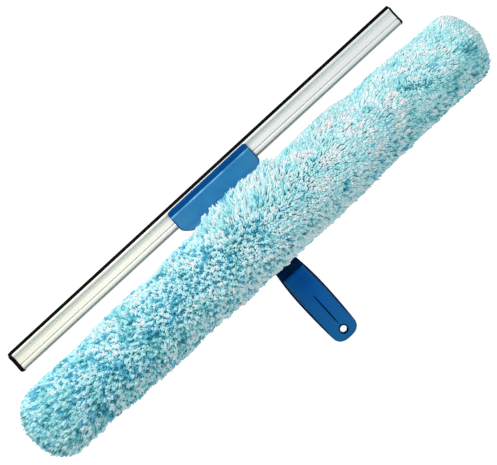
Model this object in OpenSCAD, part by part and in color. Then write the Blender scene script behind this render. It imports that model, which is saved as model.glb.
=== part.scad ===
// Window washer and squeegee on one handle.
// The tool lies on its back: +X runs along the squeegee, +Y from the handle's end
// towards the rubber edge, and +Z up through the washer sleeve.
// The origin is at the middle of the tool's footprint, on its back face.

/* [Squeegee] */
// Length of the aluminium channel
channel_length = 449.6; // [300:0.1:500]
// Height of the channel across its face
channel_height = 17.8; // [17.4:0.1:19]
// Greatest thickness of the channel
channel_thickness = 8; // [7.6:0.1:8.6]
// How far the rubber stands out of the channel's lip
blade_reach = 3.1; // [2.6:0.1:6]
// Thickness of the rubber blade
blade_thickness = 1.9; // [1.4:0.1:2]
// Length of the left end cap outside the channel
left_cap_length = 2.8; // [2:0.1:6]
// Length of the right end cap outside the channel
right_cap_length = 1.6; // [1.5:0.1:6]
// How far the channel is set to the left in its clamp
channel_offset = -6; // [-20:0.5:20]

/* [Clamp] */
// Width of the clamp that holds the channel
clamp_width = 92.6; // [70:1:120]
// Height of the flat lip along the top of the front jaw
jaw_lip = 5.4; // [4:0.1:7]

/* [Handle] */
// Distance from the handle's end to the rubber edge
tool_reach = 193.4; // [188:0.1:205]
// Widest part of the grip
grip_width = 28.6; // [26:0.1:34]
// Thickness of the grip at its belly
grip_thickness = 18; // [16:0.5:20]
// Thickness of the grip's cover at its upper end
throat_thickness = 13.5; // [12.5:0.5:15]
// Thickness of the grip at the hanging hole
tip_thickness = 9; // [8:0.5:11]
// Length of the handle's rounded end
tip_length = 10; // [9:0.5:12]
// Diameter of the hanging hole
hang_hole = 6.4; // [5:0.1:8]

/* [Washer] */
// Length of the washer bar without its caps
bar_length = 470; // [400:1:472]
// Width of the washer bar
bar_width = 30; // [28:1:34]
// Height of the washer bar
bar_height = 24; // [22:1:26]
// Length of the washer sleeve over its pile
sleeve_length = 510; // [508:1:560]
// Radius of the sleeve at its middle
sleeve_radius = 36.8; // [33:0.1:38]
// Radius of the sleeve near its ends
sleeve_end_radius = 33.6; // [30:0.1:36]

/* [Hidden] */
$fn = 64;

gap = 0.25;          // between pieces that slide on each other
seat = 0.1;          // between pieces that are screwed together
wall = 2.4;          // moulded wall

lip_margin = 0.9;    // the clamp stops short of the channel's lip

// places along the tool
top_y = tool_reach / 2;
end_y = -tool_reach / 2;
lip_y = top_y - blade_reach;                 // the channel's lip
channel_y = lip_y - channel_height;          // the channel's lower edge
jaw_top_y = lip_y - lip_margin;              // the clamp's edge
bar_y = end_y + 123.1;                       // the washer bar's axis
flare = 25;                                  // length over which the clamp flares
neck_y = jaw_top_y - 18.5 - flare;           // where the clamp starts to flare
hole_y = end_y + 9.4;                        // the hanging hole
belly_y = end_y + 50.4;                      // the widest place of the grip

// heights over the back face
channel_z = 7.6;
parting_z = 4.6;                             // the grip's parting plane
deck_z = 7.4;                                // the frame's front face under the bar
jaw_z = 15;                                  // the flat lip of the front jaw
jaw_neck_z = 25;                             // the front jaw under the sleeve
jaw_step = 0.9;                              // the face stands over the lip
jaw_rim = 0.25;                              // the rounded rim along the lip
step_round = 2;                              // length over which the face rounds down to the lip
bar_z = 42.5;

clamp_half = clamp_width / 2;
neck_half = 13.8;
saddle_length = 28.6;                        // along the tool
saddle_half = 17.5;

// ---------- helpers ----------

function smooth(t) = let (c = max(0, min(1, t))) c * c * (3 - 2 * c);
function blend(a, b, t) = a + (b - a) * smooth(t);

// Carries a flat profile drawn in Y and Z along X.
module along_x(from, length) {
    translate([from, 0, 0]) rotate([90, 0, 90]) linear_extrude(length) children();
}

// A solid through sections that each lie at one Y and have the same number of points [x, z].
module loft(ys, sections) {
    n = len(sections[0]);
    m = len(ys);
    points = [for (k = [0:m - 1]) for (p = sections[k]) [p[0], ys[k], p[1]]];
    sides = [for (k = [0:m - 2]) for (i = [0:n - 1])
        let (a = k * n + i, b = k * n + (i + 1) % n)
        each [[a, b + n, b], [a, a + n, b + n]]];
    first = [for (i = [0:n - 1]) i];
    last = [for (i = [n - 1:-1:0]) (m - 1) * n + i];
    polyhedron(points, concat([first], sides, [last]), convexity = 6);
}

// A crowned cover: a flat bottom at z0 and a rounded top at z1, half a width of w.
function crown(w, z0, z1, square, steps) = [for (i = [0:steps])
    let (a = 180 - 180 * i / steps, c = cos(a), s = sin(a), e = 2 / square)
    [w * sign(c) * pow(abs(c), e), z0 + (z1 - z0) * pow(abs(s), e)]];

// A tray: rounded along its lower edges, flat on top at z1.
function tray(w, z1, edge, steps) = concat(
    [for (i = [0:steps]) let (a = 90 * i / steps) [w - edge * (1 - cos(a)), edge * (1 - sin(a))]],
    [for (i = [steps:-1:0]) let (a = 90 * i / steps) [-w + edge * (1 - cos(a)), edge * (1 - sin(a))]],
    [[-w, z1], [w, z1]]);

module rounded_bar(width, height, radius) {
    for (y = [-1, 1], z = [-1, 1])
        translate([y * (width / 2 - radius), z * (height / 2 - radius)]) circle(radius);
    square([width - 2 * radius, height], center = true);
    square([width, height - 2 * radius], center = true);
}

// A pan-head screw that points up, its head's underside at head_z.
module screw(x, y, head_z, length, shank) {
    translate([x, y, head_z]) cylinder(d = shank, h = length);
    translate([x, y, head_z - 2.4])
        difference() {
            cylinder(d = 2 * shank, h = 2.4);
            for (turn = [0, 90])
                rotate(turn) translate([-0.45, -shank * 0.7, -1]) cube([0.9, shank * 1.4, 2]);
        }
}

// The room for such a screw: a clearance hole with a seat for its head, open at the back.
module screw_room(x, y, head_z, length, shank) {
    translate([x, y, -1]) cylinder(d = shank + 0.3, h = length + head_z + 1);
    translate([x, y, -1]) cylinder(d = 2 * shank + 0.6, h = head_z + 1);
}

// ---------- outlines ----------

// Half the width of the grip, with its squarish round end.
function grip_half(y) =
    let (u = y - belly_y,
         barrel = grip_width / 2 - (u > 0 ? 1.8 * pow(u / 29.7, 2) : 1.35 * pow(u / 41, 2)),
         t = max(0, 1 - (y - end_y) / tip_length))
    max(3, barrel * pow(1 - pow(t, 2.6), 1 / 2.6));

// Half the width of the clamp: hollow at the neck, full and round at its shoulders.
function clamp_half_at(y) =
    let (t = max(0, min(1, (y - neck_y) / flare)))
    neck_half + (clamp_half - neck_half) * (1 - pow(1 - pow(t, 1.6), 1.9));

saddle_low = bar_y - saddle_length / 2 - 0.3; // where the bare neck meets the saddle
grip_top = saddle_low - 32.3;                 // where the grip's cover ends on the neck
function frame_half(y) = y > neck_y ? clamp_half_at(y)
    : y > saddle_low ? neck_half
    : blend(grip_half(y), neck_half, (y - saddle_low + 20) / 20);

throat_length = 18;                           // the grip thins towards its upper end over this length
// Height of the grip's front face.
function grip_z(y) =
    let (face = blend(tip_thickness, grip_thickness, (y - hole_y) / 45)
             - (grip_thickness - throat_thickness) * smooth((y - grip_top + throat_length) / (throat_length - 2)),
         nose = max(0, end_y + 4 - y) / 4)
    face - (tip_thickness - parting_z) * 0.55 * nose * nose;

// Height of the front jaw's face, which swells towards the sleeve.
jaw_start = bar_y + saddle_length / 2 + 0.3; // where the jaw meets the saddle
face_top_y = jaw_top_y - jaw_lip;
function jaw_face_z(y) = jaw_z + jaw_step
    + (jaw_neck_z - jaw_z - jaw_step) * smooth((face_top_y - y) / (face_top_y - jaw_start));

// ---------- screws: [x, y, head height, length, shank] ----------

grip_screw_list = [[0, hole_y + 16, 2.8, 5.6, 3], [0, belly_y + 6, 2.8, 9, 3], [0, grip_top - 8, 2.8, 9, 3]];
jaw_screw_list = [[-27, neck_y + 18, 3, 9, 3.5], [27, neck_y + 18, 3, 9, 3.5], [0, neck_y + 1, 3, 9, 3.5]];
saddle_screw_list = [[-9, bar_y, 4, 31, 4], [9, bar_y, 4, 31, 4]];

module screws(list) { for (s = list) screw(s[0], s[1], s[2], s[3], s[4]); }
module screw_rooms(list) { for (s = list) screw_room(s[0], s[1], s[2], s[3], s[4]); }

// ---------- squeegee ----------

// places on the channel's section, as heights over its lower edge
foot_height = 2.8;                           // its rounded lower edge
flat_height = 3.6;                           // where it starts to thin
neck_height = 11.2;                          // where it is thinnest
lip_height = 15.4;                           // where its lips are full again
lip_round = 1.2;
neck_thickness = 5.6;
groove_height = 6.2;                         // the grooves for the jaws' ribs
groove_width = 1.4;
groove_depth = 0.65;
hollow_height = 1.7;                         // the hollow that takes the caps' tongues
hollow = [6.4, 4.2];
bead_radius = 1.75;                          // the rubber's bead
bead_y = channel_y + 12;

// Half the thickness of the channel at a height over its lower edge.
function channel_half(p) =
    let (full = channel_thickness / 2, thin = neck_thickness / 2,
         over = max(0, p - channel_height + lip_round) / lip_round)
    p < foot_height ? full * pow(1 - pow(1 - p / foot_height, 2.4), 1 / 2.4)
    : p < flat_height ? full
    : p < neck_height ? full + (thin - full) * (p - flat_height) / (neck_height - flat_height)
    : thin + (full - thin) * pow(min(1, (p - neck_height) / (lip_height - neck_height)), 2.4)
        - lip_round * (1 - sqrt(max(0, 1 - over * over)));

// The outside of the channel, in Y and Z.
module channel_outline() {
    heights = concat([for (a = [0:15:90]) foot_height * (1 - cos(a))], [flat_height],
        [for (i = [0:6]) neck_height + (lip_height - neck_height) * i / 6],
        [for (a = [0:22.5:90]) channel_height - lip_round * (1 - sin(a))]);
    n = len(heights);
    translate([channel_y, channel_z])
        polygon(concat([for (p = heights) [p, max(0.3, channel_half(p))]],
            [for (i = [n - 1:-1:0]) [heights[i], -max(0.3, channel_half(heights[i]))]]));
}

// The groove along one face of the channel, or the rib that runs in it.
module groove(side, width, from) {
    translate([channel_y + groove_height, channel_z + side * (from + channel_thickness) / 2])
        square([width, channel_thickness - from], center = true);
}
groove_floor = channel_half(groove_height) - groove_depth;

// The rib that each jaw leaves standing in its seat.
module seat_section(side) {
    difference() {
        offset(delta = gap) channel_outline();
        groove(side, groove_width - 2 * gap, groove_floor + gap);
    }
}

module squeegee_channel() {
    color("silver") along_x(channel_offset - channel_length / 2, channel_length)
        difference() {
            channel_outline();
            // the grooves for the jaws' ribs, front and back
            for (side = [-1, 1]) groove(side, groove_width, groove_floor);
            // the cavity that holds the rubber's bead, open at the lip
            translate([bead_y, channel_z]) circle(bead_radius + 0.15);
            translate([bead_y, channel_z - blade_thickness / 2 - 0.12])
                square([channel_height, blade_thickness + 0.24]);
            translate([channel_y + hollow_height, channel_z - hollow[1] / 2]) square(hollow);
        }
}

module blade_rubber() {
    color("black") along_x(channel_offset - channel_length / 2 + 0.1, channel_length) {
        translate([bead_y, channel_z]) circle(bead_radius);
        translate([bead_y, channel_z - blade_thickness / 2])
            square([top_y - bead_y, blade_thickness]);
        // the small shoulders that rest on the lip
        translate([lip_y + 0.05, channel_z - 1.5]) square([0.9, 3]);
    }
}

// A cap closes one end of the channel and of the rubber; its tongue is held in the channel.
module channel_cap(side, length, tongue) {
    face = channel_offset + side * channel_length / 2 + (side > 0 ? 0.1 : 0);
    corner = min(length - 0.1, 2.2);
    low = channel_y - cap_grow;
    color("black") {
        intersection() {
            along_x(side > 0 ? face : face - length, length) {
                offset(delta = cap_grow) channel_outline();
                translate([lip_y - 3, channel_z - cap_ridge]) square([3 + blade_reach - cap_ridge, 2 * cap_ridge]);
                translate([top_y - cap_ridge, channel_z]) circle(cap_ridge);
            }
            // the outer corners are round
            translate([face, (low + top_y) / 2, 0]) linear_extrude(30) offset(r = corner)
                square([2 * (length - corner), top_y - low - 2 * corner], center = true);
        }
        along_x(side > 0 ? face - tongue : face, tongue)
            offset(delta = -tongue_gap)
                translate([channel_y + hollow_height, channel_z - hollow[1] / 2]) square(hollow);
    }
}
cap_grow = 0.5;                              // the caps stand out round the channel
cap_ridge = 1.7;                             // half the thickness of a cap beside the rubber
tongue_gap = 0.2;

module channel_cap_left() { channel_cap(-1, left_cap_length, 12); }
module channel_cap_right() { channel_cap(1, right_cap_length, 12); }

// ---------- handle and clamp ----------

// Stations run closer together at the handle's round end.
function stations(from, to, count) = [for (i = [0:count]) from + (to - from) * i / count];
end_ys = [for (a = [0, 15, 27, 39, 51, 64, 77]) end_y + tip_length * (1 - cos(a))];
frame_ys = concat(end_ys, stations(end_y + tip_length, grip_top, 10),
    [grip_top + 0.25, neck_y], stations(neck_y + 2.5, neck_y + flare, 10), [jaw_top_y]);

// The frame's front steps up from the grip's parting plane to the bare neck and the deck under the saddle.
module frame_body() {
    loft(frame_ys, [for (y = frame_ys)
        tray(frame_half(y), y > grip_top + 0.1 ? deck_z : parting_z, 2.2, 4)]);
}

// The flat outline of the handle between two places, drawn in by an inset.
module plan(from, to, inset) {
    ys = stations(from, to, 12);
    polygon(concat([for (y = ys) [frame_half(y) - inset, y]],
        [for (i = [len(ys) - 1:-1:0]) [inset - frame_half(ys[i]), ys[i]]]));
}

// The grip's cross ribs and screw bosses, which both shells share.
module grip_stiffeners(boss) {
    for (y = rib_ys) translate([-20, y - 0.8, 0]) cube([40, 1.6, 30]);
    for (s = grip_screw_list) translate([s[0], s[1], 0]) cylinder(d = boss, h = 30);
}
rib_ys = [hole_y + 8, hole_y + 27, belly_y + 6, grip_top - 8];

// The clamp's ribs and screw bosses.
module jaw_stiffeners(boss) {
    for (x = [-14, 14]) translate([x - 0.8, neck_y - 3, 0]) cube([1.6, channel_y - neck_y + 3, 30]);
    for (s = jaw_screw_list) translate([s[0], s[1], 0]) cylinder(d = boss, h = 30);
}

module frame() {
    color("midnightblue") difference() {
        frame_body();
        // the seat of the channel, with a rib left standing in its groove
        along_x(-clamp_half - 1, clamp_width + 2) seat_section(-1);
        // the hollow grip, between its ribs and bosses
        difference() {
            translate([0, 0, wall]) linear_extrude(10) plan(hole_y + 8, grip_top - 3, 3.6);
            grip_stiffeners(8);
        }
        // the hollow behind the front jaw
        difference() {
            translate([0, 0, wall]) linear_extrude(10) plan(neck_y, channel_y - 2, 5);
            jaw_stiffeners(9.5);
        }
        translate([0, hole_y, -1]) cylinder(d = hang_hole, h = 20);
        screw_rooms(grip_screw_list);
        screw_rooms(jaw_screw_list);
        screw_rooms(saddle_screw_list);
    }
}

cover_step = 1.3;                            // the cover is narrower than the frame
rim_width = 1.2;                             // the slope round the hanging hole
rim_depth = 1;
grip_ys = concat([for (y = end_ys) y + 0.4], stations(end_y + tip_length + 0.6, grip_top, 13));
function cover_half(y) = max(0.8, frame_half(y - 0.4) - cover_step * smooth((y - hole_y + 4) / 20) - 0.15);

module grip_body(ys, inset, steps) {
    loft(ys, [for (y = ys)
        crown(cover_half(y) - inset, parting_z + seat - inset, grip_z(y) - inset, 3.4, steps)]);
}

module grip_cover() {
    color("royalblue") difference() {
        grip_body(grip_ys, 0, 16);
        // the hollow cover, between its ribs and bosses
        difference() {
            grip_body(stations(hole_y + 10, grip_top - wall, 7), wall, 10);
            grip_stiffeners(8);
        }
        screw_rooms(grip_screw_list);
        translate([0, hole_y, -1]) cylinder(d = hang_hole, h = 20);
        // the sunk rim of the hanging hole, which goes on a little past the face
        translate([0, hole_y, tip_thickness - rim_depth])
            cylinder(d1 = hang_hole, d2 = hang_hole + 3 * rim_width, h = 1.5 * rim_depth);
        // the fine groove along the grip
        hull() for (end = [[hole_y + 6.5, 0.4], [belly_y - 14, 0.9], [belly_y + 1.5, 0.4]])
            translate([0, end[0], grip_z(end[0]) - 0.7]) cylinder(d = end[1], h = 4, $fn = 16);
    }
}

module grip_screws() { color("gray") screws(grip_screw_list); }

corner_round = 2.6;                          // of the jaw's upper corners, in plan
rim_start = 3;                               // the rim rises this far from the jaw's upper edge
rim_rise = 1.2;                              // over this length
top_round = 1.8;                             // length and drop of the rounding along the upper edge
top_drop = 1.4;

// The front jaw: a lip with a rounded rim along the top, then a face that swells towards the sleeve.
jaw_ys = concat([jaw_start, neck_y], stations(neck_y + 2.5, neck_y + flare, 9), [neck_y + flare + 6],
    [for (t = [0:0.2:1]) face_top_y - step_round * (1 - t)],
    [for (d = [3, 2.4, 1.8, 1.2, 0.6, 0.2, 0]) jaw_top_y - d]);
function jaw_half(y) =
    frame_half(y) - corner_round * pow(max(0, y - jaw_top_y + corner_round) / corner_round, 2);
function jaw_height(y) = jaw_face_z(y)
    - jaw_step * pow(max(0, min(1, (y - face_top_y + step_round) / step_round)), 2)
    + jaw_rim * smooth((y - jaw_top_y + rim_start) / rim_rise)
    - top_drop * (1 - sqrt(max(0, 1 - pow(max(0, y - jaw_top_y + top_round) / top_round, 2))));

module jaw_body(ys, inset, steps) {
    loft(ys, [for (y = ys)
        crown(jaw_half(y) - inset, deck_z + seat - inset, jaw_height(y) - inset, 7, steps)]);
}

module clamp_jaw() {
    color("steelblue") difference() {
        jaw_body(jaw_ys, 0, 16);
        // the hollow jaw, between its ribs and bosses
        difference() {
            jaw_body(concat([jaw_start + wall], stations(neck_y + 1, channel_y - 2, 6)), wall, 8);
            jaw_stiffeners(9.5);
        }
        along_x(-clamp_half - 1, clamp_width + 2) seat_section(1);
        screw_rooms(jaw_screw_list);
    }
}

module jaw_screws() { color("gray") screws(jaw_screw_list); }

// ---------- washer bar ----------

module bar_outline(g = 0) {
    translate([bar_y, bar_z]) rounded_bar(bar_width + 2 * g, bar_height + 2 * g, 8 + g);
}

module bar_saddle() {
    color("royalblue") difference() {
        translate([-saddle_half, bar_y - saddle_length / 2, deck_z + seat])
            cube([2 * saddle_half, saddle_length, bar_z - deck_z - 8]);
        along_x(-saddle_half - 1, 2 * saddle_half + 2) bar_outline(seat);
        // pockets that leave a wall all round and a web between the screws
        for (x = [-1, 1], y = [-1, 1])
            translate([x * 9 - 6, bar_y + y * 9 - 3, deck_z + seat - 1]) cube([12, 6, 19.5]);
        screw_rooms(saddle_screw_list);
    }
}

module saddle_screws() { color("gray") screws(saddle_screw_list); }

nut_seat_z = bar_z - bar_height / 2 + 2;
module bar_nuts() {
    color("gray") for (s = saddle_screw_list) difference() {
        translate([s[0] - 3.5, s[1] - 3.5, nut_seat_z + 0.05]) cube([7, 7, 3.2]);
        translate([s[0], s[1], 0]) cylinder(d = s[4] + 0.2, h = 60);
    }
}

slot_pitch = 28;
module washer_bar() {
    color("royalblue") difference() {
        along_x(-bar_length / 2, bar_length) difference() {
            bar_outline();
            translate([bar_y, bar_z]) difference() {
                rounded_bar(bar_width - 4, bar_height - 4, 6);
                // the track that keeps the nuts from turning
                for (side = [-1, 1])
                    translate([side * 4.5 - 0.6, -bar_height / 2]) square([1.2, 5.5]);
            }
        }
        // slots in the front that let the sleeve drink from the hollow bar
        for (i = [-7:7])
            translate([i * slot_pitch, bar_y, bar_z]) linear_extrude(bar_height)
                union() {
                    square([10, 5], center = true);
                    for (x = [-5, 5]) translate([x, 0]) circle(2.5);
                }
        screw_rooms(saddle_screw_list);
    }
}

cap_reach = 10;
module bar_cap() {
    color("royalblue") {
        hull() for (step = [[0, 0], [3, 0], [7, 2.5], [cap_reach - 0.1, 6.5]])
            along_x(bar_length / 2 + step[0], 0.1)
                translate([bar_y, bar_z])
                    rounded_bar(bar_width - 2 * step[1], bar_height - 2 * step[1], 8 - step[1] * 0.8, $fn = 32);
        along_x(bar_length / 2 - 14, 14.05)
            translate([bar_y, bar_z]) difference() {
                rounded_bar(bar_width - 4.3, bar_height - 4.3, 5.85);
                rounded_bar(bar_width - 8, bar_height - 8, 4);
                for (y = [-1, 1])
                    translate([y * 4.5 - 0.75, -bar_height / 2]) square([1.5, 5.6]);
            }
    }
}

module bar_cap_left() { mirror([1, 0, 0]) bar_cap(); }
module bar_cap_right() { bar_cap(); }

// ---------- washer sleeve ----------

sleeve_half = sleeve_length / 2;
sleeve_round = 22;                           // how far its ends are rounded
slit_half = 25;                            // half the slit for the saddle and neck

// Radius of the sleeve at a distance along its length.
function sleeve_r(x) =
    let (body = blend(sleeve_radius, sleeve_end_radius, abs(x) / sleeve_half),
         past = max(0, abs(x) - (sleeve_half - sleeve_round)) / sleeve_round)
    body - (body - 9) * (1 - sqrt(max(0, 1 - past * past)));

module sleeve_outside() {
    xs = concat([for (a = [90:-15:15]) -sleeve_half + sleeve_round * (1 - sin(a))],
        [for (i = [-6:6]) i * (sleeve_half - sleeve_round) / 6.4],
        [for (a = [15:15:90]) sleeve_half - sleeve_round * (1 - sin(a))]);
    translate([0, bar_y, bar_z]) rotate([0, 90, 0]) rotate([0, 0, 90])
        rotate_extrude($fn = 96)
            polygon(concat([[0, xs[0]]], [for (x = xs) [sleeve_r(x), x]], [[0, xs[len(xs) - 1]]]));
}

// The room that the neck, the saddle and the jaw take under the sleeve, in Y and Z.
module slit_room(g = 0) {
    polygon([[end_y, -1], [end_y, grip_thickness + 2 - g], [saddle_low - 2 + g, grip_thickness + 2 - g],
        [saddle_low - 2 + g, bar_z - 2 * g], [jaw_start + 2 - g, bar_z - 2 * g],
        [jaw_start + 2 - g, jaw_neck_z + 2 - g], [top_y, jaw_neck_z + 2 - g], [top_y, -1]]);
}

tape_length = 6.5;
module tape_room(g) {
    translate([-sleeve_half - 1, bar_y - 1.3 - g, bar_z - 18 - g])
        cube([tape_length + 6, 2.6 + 2 * g, 36 + 2 * g]);
}

module washer_sleeve() {
    color("lightblue") difference() {
        sleeve_outside();
        along_x(-bar_length / 2 - cap_reach - 0.4, bar_length + 2 * cap_reach + 0.8) bar_outline(0.4);
        along_x(-slit_half, 2 * slit_half) slit_room();
        tape_room(0.1);
    }
}

// The tape that binds the slit's two cross edges.
module slit_binding() {
    color("skyblue") for (side = [-1, 1])
        intersection() {
            along_x(side > 0 ? slit_half - 1.6 : -slit_half + 0.1, 1.5)
                difference() {
                    intersection() {
                        slit_room(0.1);
                        translate([saddle_low - 12, 0]) square([jaw_start - saddle_low + 16, bar_z - 4]);
                    }
                    bar_outline(0.5);
                }
            sleeve_outside();
        }
}

module tape(side) {
    translate([-sleeve_half + 0.9, side > 0 ? bar_y + 0.05 : bar_y - 1.25, bar_z - 17.5])
        cube([tape_length, 1.2, 35]);
}

module hook_tape() { color("white") tape(1); }
module loop_tape() { color("white") tape(-1); }

frame();
grip_cover();
grip_screws();
clamp_jaw();
jaw_screws();
squeegee_channel();
blade_rubber();
channel_cap_left();
channel_cap_right();
bar_saddle();
saddle_screws();
bar_nuts();
washer_bar();
bar_cap_left();
bar_cap_right();
washer_sleeve();
slit_binding();
hook_tape();
loop_tape();
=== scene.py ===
import math

import bpy
import numpy as np
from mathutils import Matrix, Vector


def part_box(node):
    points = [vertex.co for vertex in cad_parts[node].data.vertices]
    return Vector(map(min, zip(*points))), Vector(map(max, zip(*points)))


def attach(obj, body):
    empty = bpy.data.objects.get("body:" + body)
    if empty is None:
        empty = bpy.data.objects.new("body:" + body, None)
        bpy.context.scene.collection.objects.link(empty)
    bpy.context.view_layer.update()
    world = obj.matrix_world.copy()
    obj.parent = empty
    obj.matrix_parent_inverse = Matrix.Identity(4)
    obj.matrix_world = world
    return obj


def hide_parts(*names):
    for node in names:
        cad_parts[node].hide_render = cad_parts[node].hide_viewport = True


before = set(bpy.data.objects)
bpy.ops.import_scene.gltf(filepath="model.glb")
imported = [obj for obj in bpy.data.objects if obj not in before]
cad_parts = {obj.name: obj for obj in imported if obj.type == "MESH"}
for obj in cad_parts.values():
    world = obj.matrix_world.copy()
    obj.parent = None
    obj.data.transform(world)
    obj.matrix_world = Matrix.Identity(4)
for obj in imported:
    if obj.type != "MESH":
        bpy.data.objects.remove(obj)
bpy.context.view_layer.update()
print("frame loaded")

tiny = 1e-5
far = 1.0


# small helpers


def deselectAll():
    if bpy.context.object and bpy.context.object.mode != "OBJECT":
        leaveEdit()
    bpy.ops.object.select_all(action="DESELECT")


def makeActive(piece):
    deselectAll()
    piece.select_set(True)
    bpy.context.view_layer.objects.active = piece


def removePieces(*pieces):
    deselectAll()
    for piece in pieces:
        piece.select_set(True)
    bpy.ops.object.delete()


def settle(piece, name):
    # keeps the object at the origin, with its place in its mesh
    piece.name = name
    piece.data.name = name
    makeActive(piece)
    bpy.ops.object.transform_apply(location=True, rotation=True, scale=True)
    return piece


def addBlock(name, low, high):
    deselectAll()
    middle = [(a + b) / 2 for a, b in zip(low, high)]
    bpy.ops.mesh.primitive_cube_add(size=1, location=middle)
    piece = bpy.context.object
    piece.scale = [b - a for a, b in zip(low, high)]
    return settle(piece, name)


def addPlan(name, low, high, corner, segments):
    # a flat rectangle with rounded corners, left in edit mode with all of it selected
    deselectAll()
    middle = [(a + b) / 2 for a, b in zip(low, high)]
    bpy.ops.mesh.primitive_plane_add(size=1, location=middle[:2] + [low[2]])
    plan = bpy.context.object
    plan.scale = (high[0] - low[0], high[1] - low[1], 1)
    settle(plan, name)
    editAll()
    bpy.ops.mesh.bevel(offset=corner, segments=segments, affect="VERTICES")
    return plan


def faceOutward():
    editAll()
    bpy.ops.mesh.normals_make_consistent(inside=False)
    leaveEdit()


def addRod(name, place, radius, length, vertices):
    # a cylinder that lies along the bar
    deselectAll()
    bpy.ops.mesh.primitive_cylinder_add(vertices=vertices, radius=radius, depth=length, location=place,
                                        rotation=(0, math.pi / 2, 0))
    return settle(bpy.context.object, name)


def addPeg(name, place, radius, low, high, topRadius=None):
    deselectAll()
    bpy.ops.mesh.primitive_cone_add(vertices=48, radius1=radius, radius2=topRadius or radius,
                                    depth=high - low, location=(place[0], place[1], (low + high) / 2))
    return settle(bpy.context.object, name)


def leaveEdit():
    bpy.ops.object.mode_set(mode="OBJECT")


def editAll():
    bpy.ops.object.mode_set(mode="EDIT")
    bpy.ops.mesh.select_all(action="SELECT")


def pick(piece, kind, test):
    # leaves edit mode on, with only the vertices or the faces that pass the test selected
    bpy.ops.object.mode_set(mode="EDIT")
    bpy.ops.mesh.select_mode(type=kind)
    bpy.ops.mesh.select_all(action="DESELECT")
    leaveEdit()
    for part in piece.data.vertices if kind == "VERT" else piece.data.polygons:
        part.select = bool(test(part))
    bpy.ops.object.mode_set(mode="EDIT")


def pickVerts(piece, test):
    pick(piece, "VERT", lambda vert: test(vert.co))


def resizeRing(piece, axis, place, value, near=tiny):
    # resizes the vertices at a place along an axis, and leaves edit mode on
    centre = [place if i == axis else 0 for i in range(3)]
    pickVerts(piece, lambda co: abs(co[axis] - place) < near)
    bpy.ops.transform.resize(value=value, center_override=centre)


def moveWhole(value):
    # moves all of the active piece within its mesh
    editAll()
    bpy.ops.transform.translate(value=value)
    leaveEdit()


def sliceAlong(piece, axis, places):
    makeActive(piece)
    normal = [0, 0, 0]
    normal[axis] = 1
    for place in places:
        editAll()
        bpy.ops.mesh.bisect(plane_co=[place * n for n in normal], plane_no=normal)
    leaveEdit()


def addModifier(piece, kind, **settings):
    makeActive(piece)
    modifier = piece.modifiers.new(kind.lower(), kind)
    for key, value in settings.items():
        setattr(modifier, key, value)
    bpy.ops.object.modifier_apply(modifier=modifier.name)


def bevelEdges(piece, width, segments, angle=40):
    addModifier(piece, "BEVEL", width=width, segments=segments, profile=0.5, limit_method="ANGLE",
                angle_limit=math.radians(angle), miter_outer="MITER_ARC")


def combineWith(piece, other, operation):
    addModifier(piece, "BOOLEAN", operation=operation, solver="EXACT", object=other)
    removePieces(other)


def cutAway(piece, cutter):
    combineWith(piece, cutter, "DIFFERENCE")


def smoothShade(piece, angle=40):
    makeActive(piece)
    bpy.ops.object.shade_smooth_by_angle(angle=math.radians(angle))


def eased(amount):
    c = max(0.0, min(1.0, amount))
    return c * c * (3 - 2 * c)


def evenPlaces(start, end, step):
    count = max(1, round((end - start) / step))
    return [start + (end - start) * i / count for i in range(1, count)]


def roundSteps(size, count):
    # steps from 0 up to a size, as close at first as places round a quarter circle
    return [size * (1 - math.cos(math.pi / 2 * i / count)) for i in range(1, count + 1)]


def roundOff(place, end, reach, drop):
    # how far an edge that rounds over falls at a place within reach of its end
    past = min(1.0, max(0.0, place - end + reach) / reach)
    return drop * (1 - math.sqrt(1 - past ** 2))


def paintFaces(piece, material, test):
    piece.data.materials.append(material)
    pick(piece, "FACE", lambda face: test(face.center, face.normal))
    piece.active_material_index = len(piece.data.materials) - 1
    bpy.ops.object.material_slot_assign()
    leaveEdit()


def finished(piece, body, slot, material, *nodes):
    piece.data.materials.clear()
    piece.data.materials.append(material)
    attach(piece, body)
    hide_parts(*nodes)


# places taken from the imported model

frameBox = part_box("frame")
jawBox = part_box("clamp_jaw")
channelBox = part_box("squeegee_channel")
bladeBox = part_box("blade_rubber")
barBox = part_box("washer_bar")
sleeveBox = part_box("washer_sleeve")
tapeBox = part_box("hook_tape")

endY = frameBox[0][1]
clampHalf, jawTopY, deckZ = frameBox[1]
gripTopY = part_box("grip_cover")[1][1]
barY = (barBox[0][1] + barBox[1][1]) / 2
barZ = (barBox[0][2] + barBox[1][2]) / 2
topY = bladeBox[1][1]


# shader nodes; the owner is a material or the world


def newMaterial(name, colour, roughness, **sockets):
    material = bpy.data.materials.new(name)
    material.use_nodes = True
    shader = material.node_tree.nodes["Principled BSDF"]
    shader.inputs["Base Color"].default_value = (*colour, 1)
    shader.inputs["Roughness"].default_value = roughness
    for key, value in sockets.items():
        shader.inputs[key].default_value = value
    return material


def addNode(owner, kind, **settings):
    node = owner.node_tree.nodes.new(kind)
    for key, value in settings.items():
        if hasattr(node, key):
            setattr(node, key, value)
        else:
            node.inputs[key.replace("_", " ")].default_value = value
    return node


def join(owner, start, end):
    owner.node_tree.links.new(start, end)


def toShader(material, socket, value):
    join(material, value, material.node_tree.nodes["Principled BSDF"].inputs[socket])


def mathOf(owner, operation, first, second):
    node = addNode(owner, "ShaderNodeMath", operation=operation)
    for socket, value in zip(node.inputs, (first, second)):
        if isinstance(value, float):
            socket.default_value = value
        else:
            join(owner, value, socket)
    return node.outputs[0]


def placeOf(material, scale=(1, 1, 1)):
    spot = addNode(material, "ShaderNodeTexCoord")
    mapping = addNode(material, "ShaderNodeMapping")
    mapping.inputs["Scale"].default_value = scale
    join(material, spot.outputs["Object"], mapping.inputs["Vector"])
    return mapping.outputs["Vector"]


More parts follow.
